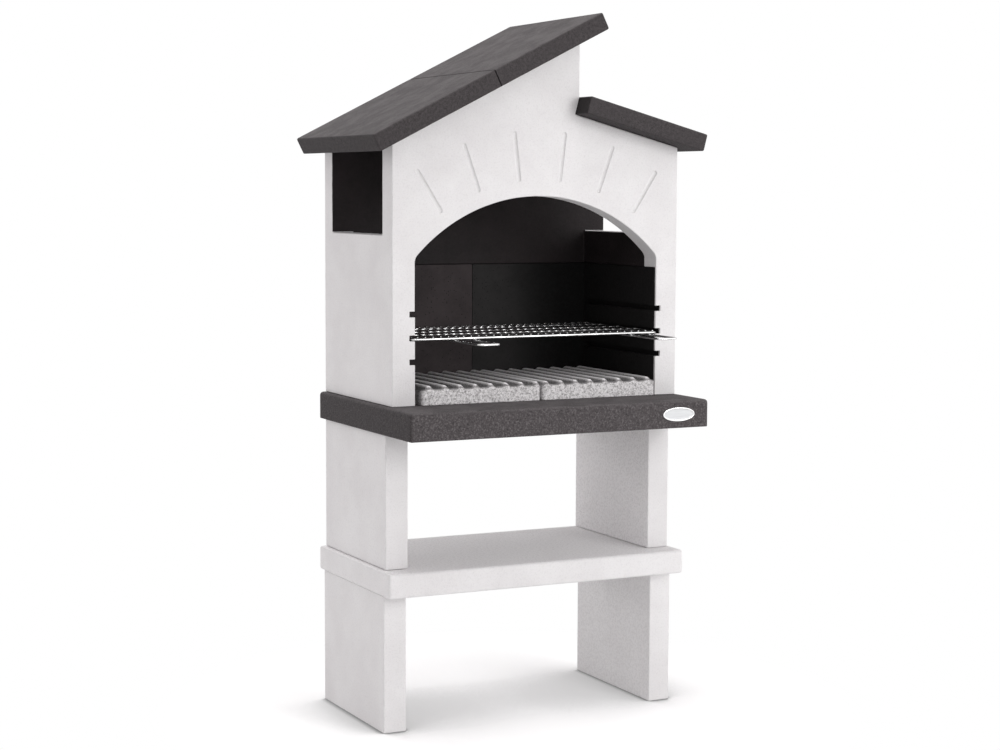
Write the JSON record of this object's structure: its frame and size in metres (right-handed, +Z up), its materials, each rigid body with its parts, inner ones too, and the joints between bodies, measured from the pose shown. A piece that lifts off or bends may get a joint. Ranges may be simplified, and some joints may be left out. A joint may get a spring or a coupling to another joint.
{
  "type": "outdoor masonry barbecue",
  "caption": "Cast masonry barbecue with stacked legs, a shelf, a dark worktop, an arched hood under a stepped roof, and a wire grill that slides in grooves",
  "frame": {"origin": "on the floor, under the middle of the whole outline", "axes": "+Z up, -Y out of the mouth towards the cook, +X to the cook's right"},
  "size_m": [0.9836, 0.6334, 1.8909],
  "materials": {
    "white_masonry": "matt white coated cast concrete",
    "anthracite_masonry": "matt anthracite coated cast concrete",
    "dark_refractory": "rough, dark",
    "speckled_refractory": "rough, light grey with specks",
    "chromed_wire": "polished",
    "plate_metal": "satin"
  },
  "bodies": {
    "masonry": {"lower_leg_left": "white_masonry", "lower_leg_right": "white_masonry", "upper_leg_left": "white_masonry", "upper_leg_right": "white_masonry", "shelf_slab": "white_masonry", "hood_front": "white_masonry", "hood_back": "white_masonry", "hood_side_left": "white_masonry", "hood_side_right": "white_masonry", "hob_slab": "anthracite_masonry", "roof_slab_left_lower": "anthracite_masonry", "roof_slab_left_upper": "anthracite_masonry", "roof_slab_right": "anthracite_masonry", "lining_side_left": "dark_refractory", "lining_side_right": "dark_refractory", "lining_back_left": "dark_refractory", "lining_back_right": "dark_refractory", "oval_plate": "plate_metal"},
    "grill": {"grill_frame": "chromed_wire", "grill_bars": "chromed_wire", "grill_handle_left": "chromed_wire", "grill_handle_right": "chromed_wire"},
    "fire_bed_left": {"fire_bed_left": "speckled_refractory"},
    "fire_bed_right": {"fire_bed_right": "speckled_refractory"}
  },
  "joints": [
    {"name": "grill_slide", "type": "slide", "parent": "masonry", "child": "grill", "axis": [0, -1, 0], "range_m": [0, 0.36]},
    {"name": "fire_bed_left_slide", "type": "slide", "parent": "masonry", "child": "fire_bed_left", "axis": [0, -1, 0], "range_m": [0, 0.15]},
    {"name": "fire_bed_right_slide", "type": "slide", "parent": "masonry", "child": "fire_bed_right", "axis": [0, -1, 0], "range_m": [0, 0.15]}
  ]
}
